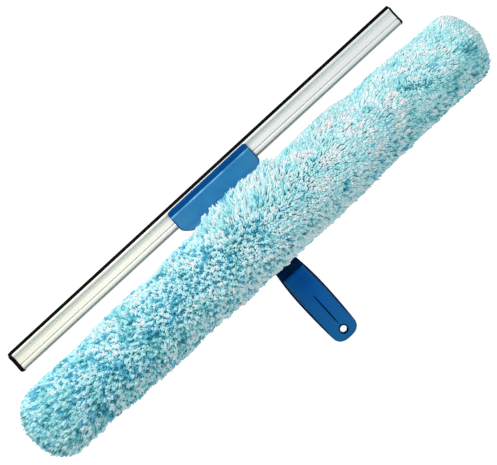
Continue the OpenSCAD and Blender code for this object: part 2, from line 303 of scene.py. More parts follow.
def axisOf(material, place, axis):
    apart = addNode(material, "ShaderNodeSeparateXYZ")
    join(material, place, apart.inputs[0])
    return apart.outputs[axis]


def noiseAt(material, place, size, detail=3.0, roughness=0.5):
    # size is in metres
    noise = addNode(material, "ShaderNodeTexNoise", Scale=1 / size, Detail=detail, Roughness=roughness)
    join(material, place, noise.inputs["Vector"])
    return noise.outputs["Fac"]


def rangeOf(material, value, low, high, fromLow=0.3, fromHigh=0.7):
    node = addNode(material, "ShaderNodeMapRange", From_Min=fromLow, From_Max=fromHigh,
                   To_Min=low, To_Max=high)
    join(material, value, node.inputs["Value"])
    return node.outputs["Result"]


def mixColour(material, amount, first, second):
    node = addNode(material, "ShaderNodeMix", data_type="RGBA")
    join(material, amount, node.inputs[0])
    for socket, colour in ((node.inputs[6], first), (node.inputs[7], second)):
        if isinstance(colour, tuple):
            socket.default_value = (*colour, 1)
        else:
            join(material, colour, socket)
    return node.outputs[2]


def addBump(material, *layers):
    # layers: (height, depth in metres), each on top of the one before
    last = None
    for height, depth in layers:
        bump = addNode(material, "ShaderNodeBump", Distance=depth, Strength=1.0)
        join(material, height, bump.inputs["Height"])
        if last:
            join(material, last, bump.inputs["Normal"])
        last = bump.outputs["Normal"]
    toShader(material, "Normal", last)


def scaled(colour, amount):
    return tuple(c * amount for c in colour)


def tinted(colour, tint):
    return tuple(c * t for c, t in zip(colour, tint))


# camera and studio

studio = {
    "cameraPlace": (-0.0043, 0.0319, 1.0076),
    "cameraTurn": -42.6,
    "lens": 82.3,
    "lightAim": (0, 0.02, 0.03),
    "keyPlace": (-0.25, 1.15, 0.95),
    "keyPower": 13.0,
    "fillPlace": (0.5, -0.9, 1.1),
    "fillPower": 3.0,
    "lightSize": 0.7,
    "worldColour": (0.93, 0.97, 1.0, 1),
    "worldStrength": 0.55,
    "floorSize": 6,
    "floorZ": -0.0005,
    "floorColour": (0.93, 0.93, 0.93),
    "floorGlow": 1.12,
    "floorWhite": 0.95,
}
white = (1, 1, 1, 1)


def buildCamera():
    bpy.ops.object.camera_add(location=studio["cameraPlace"],
                              rotation=(0, 0, math.radians(studio["cameraTurn"])))
    camera = bpy.context.object
    camera.data.lens = studio["lens"]
    camera.data.sensor_width = 36
    camera.data.clip_start = 0.01
    bpy.context.scene.camera = camera


def addSoftLight(name, place, power):
    bpy.ops.object.light_add(type="AREA", location=place)
    lamp = bpy.context.object
    lamp.name = name
    lamp.data.energy = power
    lamp.data.shape = "DISK"
    lamp.data.size = studio["lightSize"]
    aim = np.array(studio["lightAim"]) - np.array(place)
    flat = math.hypot(aim[0], aim[1])
    lamp.rotation_euler = (math.atan2(flat, -aim[2]), 0, math.atan2(-aim[0], aim[1]))


def seenByEye(owner):
    # 1 where the camera, metal or glass sees the surface, and 0 where it only lights others
    path = addNode(owner, "ShaderNodeLightPath")
    seen = path.outputs["Is Camera Ray"]
    for kind in ("Is Transmission Ray", "Is Glossy Ray"):
        seen = mathOf(owner, "MAXIMUM", seen, path.outputs[kind])
    return seen


def mixShaders(owner, amount, first, second, out):
    mix = addNode(owner, "ShaderNodeMixShader")
    join(owner, amount, mix.inputs["Fac"])
    join(owner, first.outputs[0], mix.inputs[1])
    join(owner, second.outputs[0], mix.inputs[2])
    join(owner, mix.outputs[0], out.inputs["Surface"])


def buildWorld():
    # white where it is seen, and a plain grey level as light
    world = bpy.data.worlds.new("studioWorld")
    bpy.context.scene.world = world
    world.use_nodes = True
    world.node_tree.nodes.clear()
    out = addNode(world, "ShaderNodeOutputWorld")
    light = addNode(world, "ShaderNodeBackground", Color=studio["worldColour"],
                    Strength=studio["worldStrength"])
    seen = addNode(world, "ShaderNodeBackground", Color=white, Strength=1.0)
    mixShaders(world, seenByEye(world), light, seen, out)


def buildFloor():
    deselectAll()
    bpy.ops.mesh.primitive_plane_add(size=studio["floorSize"], location=(0, 0, studio["floorZ"]))
    floor = settle(bpy.context.object, "studioFloor")
    material = newMaterial("paleFloor", studio["floorColour"], 1.0, **{"Specular IOR Level": 0.0})
    nodes = material.node_tree.nodes
    glow = addNode(material, "ShaderNodeEmission", Color=white, Strength=studio["floorGlow"])
    dim = mathOf(material, "MULTIPLY", seenByEye(material), studio["floorWhite"])
    mixShaders(material, dim, nodes["Principled BSDF"], glow, nodes["Material Output"])
    floor.data.materials.append(material)


bpy.context.scene.view_settings.view_transform = "Standard"
buildCamera()
addSoftLight("keyLight", studio["keyPlace"], studio["keyPower"])
addSoftLight("fillLight", studio["fillPlace"], studio["fillPower"])
buildWorld()
buildFloor()
print("studio built")


# materials; sizes and depths are in metres

plastic = {
    "cloudSize": 0.018,
    "cloudTones": (0.88, 1.12),
    "smudgeSize": 0.007,
    "smudgeRange": (0.82, 1.2),
    "grainSize": 0.0009,
    "grainDepth": 0.00003,
    "waveSize": 0.012,
    "waveDepth": 0.00012,
}


def mouldedPlastic(name, colour, roughness, specular, paintedLightTints=()):
    # fine spark-eroded grain, slow changes of colour, and tints towards given places, which are painted light
    # and shade
    # each tint row: (axis, tint, where the tint starts, where it is full)
    material = newMaterial(name, colour, roughness, **{"Specular IOR Level": specular})
    place = placeOf(material)
    cloud = rangeOf(material, noiseAt(material, place, plastic["cloudSize"], 4.0), 0, 1)
    tone = mixColour(material, cloud, *[scaled(colour, amount) for amount in plastic["cloudTones"]])
    # painted light and shade: each tint lightens or darkens the colour towards one place
    for axis, tint, start, end in paintedLightTints:
        near = rangeOf(material, axisOf(material, place, axis), 0, 1, start, end)
        tone = mixColour(material, near, tone, tint)
    toShader(material, "Base Color", tone)
    smudge = noiseAt(material, place, plastic["smudgeSize"], 5.0, 0.6)
    levels = [roughness * amount for amount in plastic["smudgeRange"]]
    toShader(material, "Roughness", rangeOf(material, smudge, *levels))
    addBump(material, (noiseAt(material, place, plastic["grainSize"], 2.0), plastic["grainDepth"]),
            (noiseAt(material, place, plastic["waveSize"]), plastic["waveDepth"]))
    return material


metal = {
    "lineSize": 0.001,
    "lineShade": 0.72,
    "lineAmount": 0.35,
    "lineRough": (-0.06, 0.08),
    "lineDepth": 0.00001,
    "cloudSize": 0.06,
    "cloudRough": (-0.03, 0.04),
    "warmX": -0.24,
    "coolX": 0.18,
    "warm": (1.02, 0.975, 0.81),
    "cool": (0.97, 0.98, 0.985),
}


def drawnMetal(name, colour, roughness, metallic, drawn):
    # drawing lines along the bar, and a warm to cool tint from end to end
    material = newMaterial(name, colour, roughness, Metallic=metallic)
    lines = noiseAt(material, placeOf(material, drawn), metal["lineSize"], 4.0, 0.6)
    slow = noiseAt(material, placeOf(material), metal["cloudSize"], 2.0)
    across = rangeOf(material, axisOf(material, placeOf(material), "X"), 0, 1, metal["warmX"], metal["coolX"])
    tint = mixColour(material, across, tinted(colour, metal["warm"]), tinted(colour, metal["cool"]))
    amount = rangeOf(material, lines, 0, metal["lineAmount"])
    toShader(material, "Base Color", mixColour(material, amount, tint, scaled(colour, metal["lineShade"])))
    fine = rangeOf(material, lines, *metal["lineRough"])
    wide = rangeOf(material, slow, *[roughness + more for more in metal["cloudRough"]])
    toShader(material, "Roughness", mathOf(material, "ADD", fine, wide))
    addBump(material, (lines, metal["lineDepth"]))
    return material


rubberLook = {
    "dustSize": 0.004,
    "dustRange": (0.42, 0.62),
    "ribScale": (1, 12, 12),
    "ribSize": 0.004,
    "ribDepth": 0.00002,
}


def softRubber(name, colour):
    material = newMaterial(name, colour, 0.5, **{"Specular IOR Level": 0.03})
    dust = noiseAt(material, placeOf(material), rubberLook["dustSize"], 5.0, 0.65)
    toShader(material, "Roughness", rangeOf(material, dust, *rubberLook["dustRange"]))
    ribs = noiseAt(material, placeOf(material, rubberLook["ribScale"]), rubberLook["ribSize"])
    addBump(material, (ribs, rubberLook["ribDepth"]))
    return material


weave = {
    "bandScale": 0.31,
    "slub": 0.6,
    "tones": (0.6, 1.15),
    "threadDepth": 0.4,
    "creaseSize": 0.003,
    "creaseDepth": 0.0001,
}


def wovenCloth(name, colour, thread):
    # plain weave from two sets of threads, with slubs
    material = newMaterial(name, colour, 0.95, **{"Sheen Weight": 0.3, "Specular IOR Level": 0.1})
    place = placeOf(material)
    waves = []
    for direction in ("X", "Z"):
        wave = addNode(material, "ShaderNodeTexWave", bands_direction=direction,
                       Scale=weave["bandScale"] / thread, Distortion=weave["slub"])
        join(material, place, wave.inputs["Vector"])
        waves.append(wave.outputs["Fac"])
    height = mathOf(material, "MULTIPLY", *waves)
    # painted shade: the colour darkens where the threads lie low
    tones = [scaled(colour, amount) for amount in weave["tones"]]
    toShader(material, "Base Color", mixColour(material, rangeOf(material, height, 0, 1, 0.0, 0.8), *tones))
    addBump(material, (height, thread * weave["threadDepth"]),
            (noiseAt(material, place, weave["creaseSize"]), weave["creaseDepth"]))
    return material


def paintedHighlightEdge(name, dull, bright):
    # a painted highlight along an edge, brighter in stretches
    material = mouldedPlastic(name, dull, 0.3, 0.2)
    streak = noiseAt(material, placeOf(material, (1, 0.1, 0.1)), 0.012, 2.0)
    amount = rangeOf(material, streak, 0, 1, 0.42, 0.68)
    toShader(material, "Base Color", mixColour(material, amount, dull, bright))
    return material


drawnAlong = (0.02, 6, 6)

# painted shade: the frame's navy turns darker on the bare neck just under the sleeve, and back to its own
# navy further towards the jaw
frameNavy = mouldedPlastic("frameNavy", (0.0012, 0.031, 0.110), 0.45, 0.0, paintedLightTints=[
    ("Y", (0.0007, 0.012, 0.045), -0.0195, -0.0120),
    ("Y", (0.0012, 0.031, 0.110), -0.005, 0.005),
])
# painted shade: a near-black blue for the hole's rim and the groove
recessShade = mouldedPlastic("recessShade", (0.0008, 0.012, 0.052), 0.45, 0.0)
# painted light: the sides lighter than the middle, the left greener and the right bluer, and the part near
# the sleeve bluer than the end, lifted against the sleeve's shade
gripBlue = mouldedPlastic("gripBlue", (0.0005, 0.106, 0.410), 0.48, 0.07, paintedLightTints=[
    ("X", (0.006, 0.134, 0.380), 0.002, -0.013),
    ("X", (0.002, 0.128, 0.450), 0.002, 0.013),
    ("Y", (0.008, 0.126, 0.335), -0.045, -0.090),
])
# painted shade: a darker blue for faces that turn away, on the grip's sides and on the jaw's sides and top
# edge
sideShade = mouldedPlastic("sideShade", (0.001, 0.070, 0.220), 0.48, 0.02)
# painted highlight: paler patches towards both sides of the jaw's face
clampBlue = mouldedPlastic("clampBlue", (0.022, 0.202, 0.440), 0.52, 0.10, paintedLightTints=[
    ("X", (0.036, 0.214, 0.430), -0.022, -0.040),
    ("X", (0.036, 0.214, 0.440), 0.022, 0.040),
])
# the jaw's lip: glossier, and darker as a painted dark reflection
clampGlossShade = mouldedPlastic("clampGlossShade", (0.001, 0.074, 0.268), 0.24, 0.03)
clampStepHighlight = paintedHighlightEdge("clampStepHighlight", (0.04, 0.235, 0.49), (0.16, 0.48, 0.76))
barBlue = mouldedPlastic("barBlue", (0.006, 0.12, 0.34), 0.42, 0.25)
blackPlastic = mouldedPlastic("blackPlastic", (0.0016, 0.0016, 0.002), 0.45, 0.05)
blackRubber = softRubber("blackRubber", (0.0012, 0.0012, 0.0014))
anodised = drawnMetal("anodisedAluminium", (0.80, 0.80, 0.79), 0.40, 0.40, drawnAlong)
# painted reflection: a darker copy of the aluminium for the round foot, standing for the dark surroundings it
# reflects
anodisedFootShade = drawnMetal("anodisedFootShade", (0.42, 0.43, 0.44), 0.42, 0.40, drawnAlong)
zincSteel = drawnMetal("zincSteel", (0.62, 0.62, 0.60), 0.34, 1.0, (1, 1, 1))
clothBlue = wovenCloth("sleeveCloth", (0.26, 0.68, 0.76), 0.0008)
tapeWhite = wovenCloth("closureTape", (0.80, 0.84, 0.86), 0.0005)
bindingBlue = wovenCloth("bindingTape", (0.06, 0.30, 0.50), 0.0005)

nodeFinish = {
    frameNavy: ("frame",),
    gripBlue: ("grip_cover",),
    clampBlue: ("clamp_jaw",),
    barBlue: ("bar_saddle", "washer_bar", "bar_cap_left", "bar_cap_right"),
    blackPlastic: ("channel_cap_left", "channel_cap_right"),
    blackRubber: ("blade_rubber",),
    anodised: ("squeegee_channel",),
    zincSteel: ("grip_screws", "jaw_screws", "saddle_screws", "bar_nuts"),
    clothBlue: ("washer_sleeve",),
    bindingBlue: ("slit_binding",),
    tapeWhite: ("hook_tape", "loop_tape"),
}
for finish, nodeNames in nodeFinish.items():
    for nodeName in nodeNames:
        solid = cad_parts[nodeName]
        solid.data.materials.clear()
        solid.data.materials.append(finish)
print("materials made")


# handle and clamp, as moulded shells

handle = {
    "widest": 0.0286,
    "neckHalf": 0.0138,
    "neckBlend": 0.020,
    "bellyFromEnd": 0.0504,
    "lossAbove": (0.0018, 0.0297),
    "lossBelow": (0.00135, 0.041),
    "endLength": 0.010,
    "endPower": 2.6,
    "endHalf": 0.0022,
    "holeFromEnd": 0.0094,
    "holeRadius": 0.0032,
    "rimWidth": 0.0012,
    "rimDepth": 0.001,
    "tipThick": 0.009,
    "gripThick": 0.018,
    "rise": 0.045,
    "nose": 0.004,
    "throatThick": 0.0135,
    "throatLength": 0.018,
    "partingZ": 0.0046,
    "coverStep": 0.0014,
    "coverInset": 0.0004,
    "crown": [(0.4, 0.012), (0.7, 0.085), (0.88, 0.23), (0.97, 0.42), (1.0, 0.56)],
    "grooveWidth": 0.0014,
    "grooveDepth": 0.0011,
    "cutFrom": -0.01,
    "cutTo": 0.03,
}
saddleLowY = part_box("bar_saddle")[0][1] - 0.0003
bellyY = endY + handle["bellyFromEnd"]
holeY = endY + handle["holeFromEnd"]

clamp = {
    "flare": 0.025,
    "flarePowers": (1.6, 1.9),
    "shoulder": 0.0185,
    "lip": 0.0054,
    "lipZ": 0.015,
    "step": 0.0009,
    "stepRound": 0.002,
    "rim": 0.00025,
    "rimFrom": 0.003,
    "rimRise": 0.0012,
    "topRound": 0.0018,
    "topDrop": 0.0014,
    "neckZ": 0.025,
    "corner": 0.0034,
    "edgeRound": 0.0016,
    "edgeBreak": 0.0002,
    "backRound": 0.0012,
    "ringStep": 0.0018,
    "seatGap": 0.00025,
}
neckY = jawTopY - clamp["shoulder"] - clamp["flare"]
shoulderY = jawTopY - clamp["shoulder"]
lipY = jawTopY - clamp["lip"]
jawStartY = jawBox[0][1]

# each kind of screw: its places, and the radius and depth of its seats in the back
screws = {
    "grip": ([(0, holeY + 0.016), (0, bellyY + 0.006), (0, gripTopY - 0.008)], 0.0033, 0.0028),
    "jaw": ([(-0.027, neckY + 0.018), (0.027, neckY + 0.018), (0, neckY + 0.001)], 0.0038, 0.003),
    "saddle": ([(-0.009, barY), (0.009, barY)], 0.0043, 0.004),
}


def gripHalf(y):
    off = y - bellyY
    loss, length = handle["lossAbove"] if off > 0 else handle["lossBelow"]
    barrel = handle["widest"] / 2 - loss * (off / length) ** 2
    t = max(0.0, 1 - (y - endY) / handle["endLength"])
    return max(handle["endHalf"], barrel * (1 - t ** handle["endPower"]) ** (1 / handle["endPower"]))


def outlineHalf(y):
    if y > neckY:
        t = min(1.0, (y - neckY) / clamp["flare"])
        slow, fast = clamp["flarePowers"]
        return handle["neckHalf"] + (clampHalf - handle["neckHalf"]) * (1 - (1 - t ** slow) ** fast)
    if y > saddleLowY:
        return handle["neckHalf"]
    mix = eased((y - saddleLowY + handle["neckBlend"]) / handle["neckBlend"])
    return gripHalf(y) * (1 - mix) + handle["neckHalf"] * mix


def gripTop(y):
    thin, full = handle["tipThick"], handle["gripThick"]
    face = thin + (full - thin) * eased((y - holeY) / handle["rise"])
    throat = eased((y - gripTopY + handle["throatLength"]) / (handle["throatLength"] - 0.002))
    face += (handle["throatThick"] - full) * throat
    nose = max(0.0, endY + handle["nose"] - y) / handle["nose"]
    return face - (thin - handle["partingZ"]) * 0.55 * nose ** 2


def roundEndPlaces(count):
    return [endY + step for step in roundSteps(handle["endLength"], count)[:-1]]


def shapeRings(piece, places, half, low, high):
    # gives a block that is 2 wide and 1 high its half width and its lower and upper height at each place
    for y in places:
        resizeRing(piece, 1, y, (half(y), 1, high(y) - low(y)))
        bpy.ops.transform.translate(value=(0, 0, low(y)))
    leaveEdit()


def lowerColumns(piece, drops, upper=True):
    # drops: part of the half width, and how far that side moves in there, as a part of the height
    for part, drop in drops:
        pickVerts(piece, lambda co: abs(abs(co.x) - part) < tiny and (co.z > 0.99 if upper else co.z < 0.01))
        bpy.ops.transform.translate(value=(0, 0, -drop if upper else drop))
    leaveEdit()


def sliceColumns(piece, drops):
    sliceAlong(piece, 0, [side * row[0] for row in drops[:-1] for side in (-1, 1)])


def roundEdges(piece, half, radius, height, upper):
    # rounds the long edges of a block that shapeRings is to size, on its upper or its lower side
    falls = roundSteps(radius, 6)
    drops = [(1 - inset / half, fall / height) for inset, fall in zip(falls[-2::-1] + [0], falls)]
    sliceColumns(piece, drops)
    lowerColumns(piece, drops, upper)


def creaseWhere(piece, test):
    pickVerts(piece, test)
    bpy.ops.mesh.select_mode(type="EDGE")
    bpy.ops.transform.edge_crease(value=1)
    leaveEdit()


def cutHole(piece):
    cutAway(piece, addPeg("holeCutter", (0, holeY), handle["holeRadius"], handle["cutFrom"], handle["cutTo"]))


def cutSeat(piece):
    # the room that the channel takes between frame and jaw
    cutAway(piece, buildChannelBody("seatCutter", clampHalf * 2 + 0.02, clamp["seatGap"]))


def buildGripShell():
    inset = handle["coverInset"]
    start = endY + inset
    places = [y + inset for y in roundEndPlaces(7)]
    places += evenPlaces(endY + handle["endLength"], gripTopY, 0.006)
    shell = addBlock("gripShell", (-1, start, 0), (1, gripTopY, 1))
    sliceColumns(shell, handle["crown"])
    sliceAlong(shell, 1, places)
    sliceAlong(shell, 2, [0.3])
    lowerColumns(shell, handle["crown"])

    def half(y):
        step = handle["coverStep"] * eased((y - holeY + 0.004) / 0.02)
        return max(0.0016, outlineHalf(y) - step - 0.0002)

    shapeRings(shell, [start] + places + [gripTopY], half, lambda y: handle["partingZ"], gripTop)
    creaseWhere(shell, lambda co: co.z < handle["partingZ"] + tiny)
    addModifier(shell, "SUBSURF", levels=2, render_levels=2)
    cutHole(shell)
    radius, depth = handle["holeRadius"], handle["rimDepth"]
    cutAway(shell, addPeg("rimCutter", (0, holeY), radius, handle["tipThick"] - depth,
                          handle["tipThick"] + depth / 2, radius + 1.5 * handle["rimWidth"]))
    cutAway(shell, buildGrooveCutter())
    smoothShade(shell, 35)
    finished(shell, "handle", "handle_plastic", gripBlue, "grip_cover")
    # painted shade in the hole's rim and down the groove
    paintFaces(shell, recessShade, lambda centre, normal: inRim(centre, normal) or inGroove(centre))
    sideX = handle["neckHalf"] / 2
    # painted shade on the grip cover's side faces
    paintFaces(shell, sideShade, lambda centre, normal: normal.z < 0.5 and abs(centre.x) > sideX)


def inRim(centre, normal):
    outer = handle["holeRadius"] + handle["rimWidth"] + 0.0002
    return math.hypot(centre.x, centre.y - holeY) < outer and normal.z < 0.97


def inGroove(centre):
    return abs(centre.x) < handle["grooveWidth"] / 2 and centre.z < gripTop(centre.y) - 0.0002


def buildGrooveCutter():
    start, end = holeY + 0.0065, bellyY + 0.0005
    places = evenPlaces(start, end, 0.003)
    cutter = addBlock("grooveCutter", (-1, start, 0), (1, end, 1))
    sliceAlong(cutter, 1, places)

    def fade(y):
        return max(0.0, math.sin(math.pi * (y - start) / (end - start))) ** 0.5

    def half(y):
        return handle["grooveWidth"] / 2 * (0.25 + 0.75 * fade(y))

    shapeRings(cutter, [start] + places + [end], half,
               lambda y: gripTop(y) - handle["grooveDepth"] * fade(y) - 0.00005, lambda y: gripTop(y) + 0.004)
    return cutter


def buildBackShell():
    step = 0.0003
    places = roundEndPlaces(8) + evenPlaces(endY + handle["endLength"] - step, gripTopY, 0.005)
    places += [gripTopY, gripTopY + step] + evenPlaces(gripTopY + step, saddleLowY, 0.004)
    places += [saddleLowY, neckY]
    places += evenPlaces(neckY, shoulderY, clamp["ringStep"]) + [shoulderY]
    shell = addBlock("backShell", (-1, endY, 0), (1, jawTopY, 1))
    sliceAlong(shell, 1, places)
    roundEdges(shell, handle["neckHalf"], clamp["backRound"], handle["partingZ"], False)
    shapeRings(shell, [endY] + places + [jawTopY], outlineHalf, lambda y: 0,
               lambda y: deckZ if y > gripTopY + 0.0001 else handle["partingZ"])
    bevelEdges(shell, clamp["edgeBreak"], 2, angle=50)
    cutSeat(shell)
    cutHole(shell)
    for spots, radius, depth in screws.values():
        for place in spots:
            cutAway(shell, addPeg("screwSeat", place, radius, handle["cutFrom"], depth))
    smoothShade(shell, 35)
    finished(shell, "handle", "handle_plastic", frameNavy, "frame")


def jawZ(y):
    # the face rounds down to a lip, whose upper edge has a low rim and rounds over
    rise = eased((lipY - y) / (lipY - jawStartY))
    face = clamp["lipZ"] + clamp["step"] + (clamp["neckZ"] - clamp["lipZ"] - clamp["step"]) * rise
    past = max(0.0, min(1.0, (y - lipY + clamp["stepRound"]) / clamp["stepRound"]))
    rim = clamp["rim"] * eased((y - jawTopY + clamp["rimFrom"]) / clamp["rimRise"])
    return face - clamp["step"] * past ** 2 + rim - roundOff(y, jawTopY, clamp["topRound"], clamp["topDrop"])


def buildFrontJaw():
    places = [neckY] + evenPlaces(neckY, shoulderY, clamp["ringStep"])
    places += [shoulderY, lipY - 0.008, lipY - 0.004]
    places += [lipY - clamp["stepRound"] * (1 - i / 8) for i in range(9)]
    places += [jawTopY - clamp["rimFrom"] + clamp["rimRise"] * i / 4 for i in range(5)]
    places += [jawTopY - step for step in reversed(roundSteps(clamp["topRound"], 7)[:-1])]
    jaw = addBlock("frontJaw", (-1, jawStartY, 0), (1, jawTopY, 1))
    sliceAlong(jaw, 1, places)
    roundEdges(jaw, clampHalf, clamp["edgeRound"], jawZ(lipY - 0.008) - deckZ, True)

    def half(y):
        return outlineHalf(y) - roundOff(y, jawTopY, clamp["corner"], clamp["corner"])

    shapeRings(jaw, [jawStartY] + places + [jawTopY], half, lambda y: deckZ + 0.0001, jawZ)
    bevelEdges(jaw, clamp["edgeBreak"], 2, angle=55)
    cutSeat(jaw)
    smoothShade(jaw, 35)
    finished(jaw, "handle", "handle_plastic", clampBlue, "clamp_jaw")
    edgeY = lipY - 0.0003
    # painted reflection: the lip above the step takes the glossy, darkened blue
    paintFaces(jaw, clampGlossShade, lambda centre, normal: centre.y > edgeY and centre.z > deckZ + 0.001)
    # painted shade on the jaw's sides and along its top edge
    paintFaces(jaw, sideShade, lambda centre, normal: abs(normal.x) > 0.2 or centre.y > jawTopY - 0.0009)
    # painted highlight along the rounded step below the lip
    paintFaces(jaw, clampStepHighlight, lambda centre, normal: lipY - 0.0018 < centre.y < edgeY and normal.z > 0.5)


# squeegee: an extruded channel, its rubber and two end caps

channel = {
    "middleX": (channelBox[0][0] + channelBox[1][0]) / 2,
    "lowY": channelBox[0][1],
    "highY": channelBox[1][1],
    "height": channelBox[1][1] - channelBox[0][1],
    "middleZ": (channelBox[0][2] + channelBox[1][2]) / 2,
    "full": 0.004,
    "neck": 0.0028,
    "footHeight": 0.0028,
    "footPower": 2.4,
    "footShadeHeight": 0.0019,
    "flatHeight": 0.0036,
    "neckHeight": 0.0112,
    "lipHeight": 0.0154,
    "lipRound": 0.0012,
    "grooveHeight": 0.0054,
    "grooveRadius": 0.0015,
    "grooveDepth": 0.0008,
    "beadHeight": 0.012,
    "cavityRadius": 0.0019,
    "slotHalf": 0.00107,
    "hollowHeight": 0.0017,
    "hollow": (0.0064, 0.0042),
    "past": 0.01,
}
beadY = channel["lowY"] + channel["beadHeight"]


def channelHalf(p):
    # half the thickness at a height over the lower edge: a round foot, a neck, and the lips
    full, thin, power = channel["full"], channel["neck"], channel["footPower"]
    if p < channel["footHeight"]:
        return max(0.0003, full * (1 - (1 - p / channel["footHeight"]) ** power) ** (1 / power))
    if p < channel["neckHeight"]:
        part = max(0.0, (p - channel["flatHeight"]) / (channel["neckHeight"] - channel["flatHeight"]))
        return full + (thin - full) * part
    part = min(1.0, (p - channel["neckHeight"]) / (channel["lipHeight"] - channel["neckHeight"]))
    worn = roundOff(p, channel["height"], channel["lipRound"], channel["lipRound"])
    return thin + (full - thin) * part ** power - worn


def buildChannelBody(name, length, grow):
    step = 0.0003
    neck = evenPlaces(channel["neckHeight"] - 0.0005, channel["lipHeight"] + step, step)
    lips = [channel["height"] - drop for drop in reversed(roundSteps(channel["lipRound"], 7))]
    heights = roundSteps(channel["footHeight"], 10) + [channel["flatHeight"]] + neck + lips
    body = addBlock(name, (-length / 2, 0, -1), (length / 2, channel["height"], 1))
    sliceAlong(body, 1, heights)
    for p in [0] + heights + [channel["height"]]:
        resizeRing(body, 1, p, (1, 1, channelHalf(p) + grow))
    for p, push in ((0, -grow), (channel["height"], grow)):
        pickVerts(body, lambda co: abs(co.y - p) < tiny)
        bpy.ops.transform.translate(value=(0, push, 0))
    moveWhole((channel["middleX"] if grow == 0 else 0, channel["lowY"], channel["middleZ"]))
    return body


def addSlot(name, lowY, highY, half):
    # a cutter as long as the channel and more
    low = (channelBox[0][0] - channel["past"], lowY, channel["middleZ"] - half)
    return addBlock(name, low, (channelBox[1][0] + channel["past"], highY, channel["middleZ"] + half))


def buildChannel():
    length = channelBox[1][0] - channelBox[0][0]
    middleX, middleZ = channel["middleX"], channel["middleZ"]
    body = buildChannelBody("channelExtrusion", length, 0)
    longer = length + 2 * channel["past"]
    out = channelHalf(channel["grooveHeight"]) + channel["grooveRadius"] - channel["grooveDepth"]
    for side in (-1, 1):
        place = (middleX, channel["lowY"] + channel["grooveHeight"], middleZ + side * out)
        cutAway(body, addRod("grooveCutter", place, channel["grooveRadius"], longer, 24))
    cutAway(body, addSlot("slotCutter", beadY, channel["highY"] + 0.01, channel["slotHalf"]))
    cutAway(body, addRod("beadCutter", (middleX, beadY, middleZ), channel["cavityRadius"], longer, 32))
    hollowY, (width, depth) = channel["lowY"] + channel["hollowHeight"], channel["hollow"]
    cutAway(body, addSlot("hollowCutter", hollowY, hollowY + width, depth / 2))
    smoothShade(body, 30)
    finished(body, "squeegee", "channel_metal", anodised, "squeegee_channel")
    # painted reflection: the foot of the channel takes the darker aluminium
    paintFaces(body, anodisedFootShade, lambda centre, normal: centre.y < channel["lowY"] + channel["footShadeHeight"])


rubber = {
    "beadRadius": 0.00175,
    "half": 0.00095,
    "tipHalf": 0.00088,
    "shoulderHalf": 0.0015,
    "shoulderDrop": 0.0003,
    "shoulder": (channel["highY"] + 0.00005, channel["highY"] + 0.00095),
    "edgeBreak": 0.00012,
}


def rubberHalf(y):
    # half the rubber's thickness: a round bead, a web, the shoulders on the lips, and the wiping edge
    low, high = rubber["shoulder"]
    if low <= y <= high:
        return rubber["shoulderHalf"] - rubber["shoulderDrop"] * ((y - low) / (high - low)) ** 3
    fade = eased((y - channel["highY"]) / (topY - channel["highY"]))
    web = rubber["half"] + (rubber["tipHalf"] - rubber["half"]) * fade
    return max(web, math.sqrt(max(0.0, rubber["beadRadius"] ** 2 - (y - beadY) ** 2)))


def buildRubber():
    low, high = rubber["shoulder"]
    r = rubber["beadRadius"]
    places = [beadY - r * math.cos(math.pi * i / 14) for i in range(1, 14)]
    places += [channel["highY"], low - 2 * tiny, low, (low + high) / 2, high, high + 2 * tiny, high + 0.0004]
    strip = addBlock("wipingRubber", (bladeBox[0][0], beadY - r, -1), (bladeBox[1][0], topY, 1))
    sliceAlong(strip, 1, places)
    for place in [beadY - r] + places + [topY]:
        resizeRing(strip, 1, place, (1, 1, max(0.0002, rubberHalf(place))), tiny / 2)
    moveWhole((0, 0, channel["middleZ"]))
    bevelEdges(strip, rubber["edgeBreak"], 2, angle=60)
    smoothShade(strip, 35)
    finished(strip, "blade", "blade_rubber", blackRubber, "blade_rubber")


endCap = {
    "grow": 0.0005,
    "skirt": 0.0007,
    "ridgeHalf": 0.0017,
    "ridgeStart": 0.003,
    "corner": 0.0022,
    "planTop": 0.03,
}


def buildChannelCap(name, node, body):
    # it closes the channel and the rubber, and its outer corners are round
    low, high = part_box(node)
    onLeft = body == "squeegee"
    inner = channelBox[0][0] + endCap["skirt"] if onLeft else bladeBox[1][0]
    outer = low[0] if onLeft else high[0]
    length = abs(outer - inner)
    cap = buildChannelBody(name, length, endCap["grow"])
    moveWhole(((inner + outer) / 2, 0, 0))
    half = endCap["ridgeHalf"]
    ridgeLow = (min(inner, outer), channel["highY"] - endCap["ridgeStart"], channel["middleZ"] - half)
    ridge = addBlock("capRidge", ridgeLow, (max(inner, outer), high[1], channel["middleZ"] + half))
    bevelEdges(ridge, half * 0.9, 5, angle=60)
    combineWith(cap, ridge, "UNION")
    plan = addPlan("capPlan", (inner - length, low[1], 0), (inner + length, high[1], 0),
                   min(endCap["corner"], length * 0.95), 6)
    bpy.ops.mesh.extrude_region_move(TRANSFORM_OT_translate={"value": (0, 0, endCap["planTop"])})
    faceOutward()
    combineWith(cap, plan, "INTERSECT")
    smoothShade(cap, 40)
    finished(cap, body, "cap_plastic", blackPlastic, node)


buildGripShell()
buildBackShell()
buildFrontJaw()
print("handle built")
buildChannel()
buildRubber()
buildChannelCap("endCapLeft", "channel_cap_left", "squeegee")
buildChannelCap("endCapRight", "channel_cap_right", "blade")
print("squeegee built")


# washer sleeve: a cloth tube with a deep pile of tufts

sleeve = {
    "leftEnd": sleeveBox[0][0] - 0.0002,
    "rightEnd": sleeveBox[1][0] - 0.0026,
    "middleRadius": 0.0368,
    "endRadius": 0.0336,
    "endRound": 0.025,
    "endPower": 2.6,
    "pileLength": 0.0042,
    "slitHalf": 0.025,
    "slitGap": 0.002,
    "barRoomX": 0.2352,
    "barGap": 0.0004,
    "tapeHalfY": 0.0014,
    "tapeHalfZ": 0.018,
}
slitLowY = saddleLowY - sleeve["slitGap"]


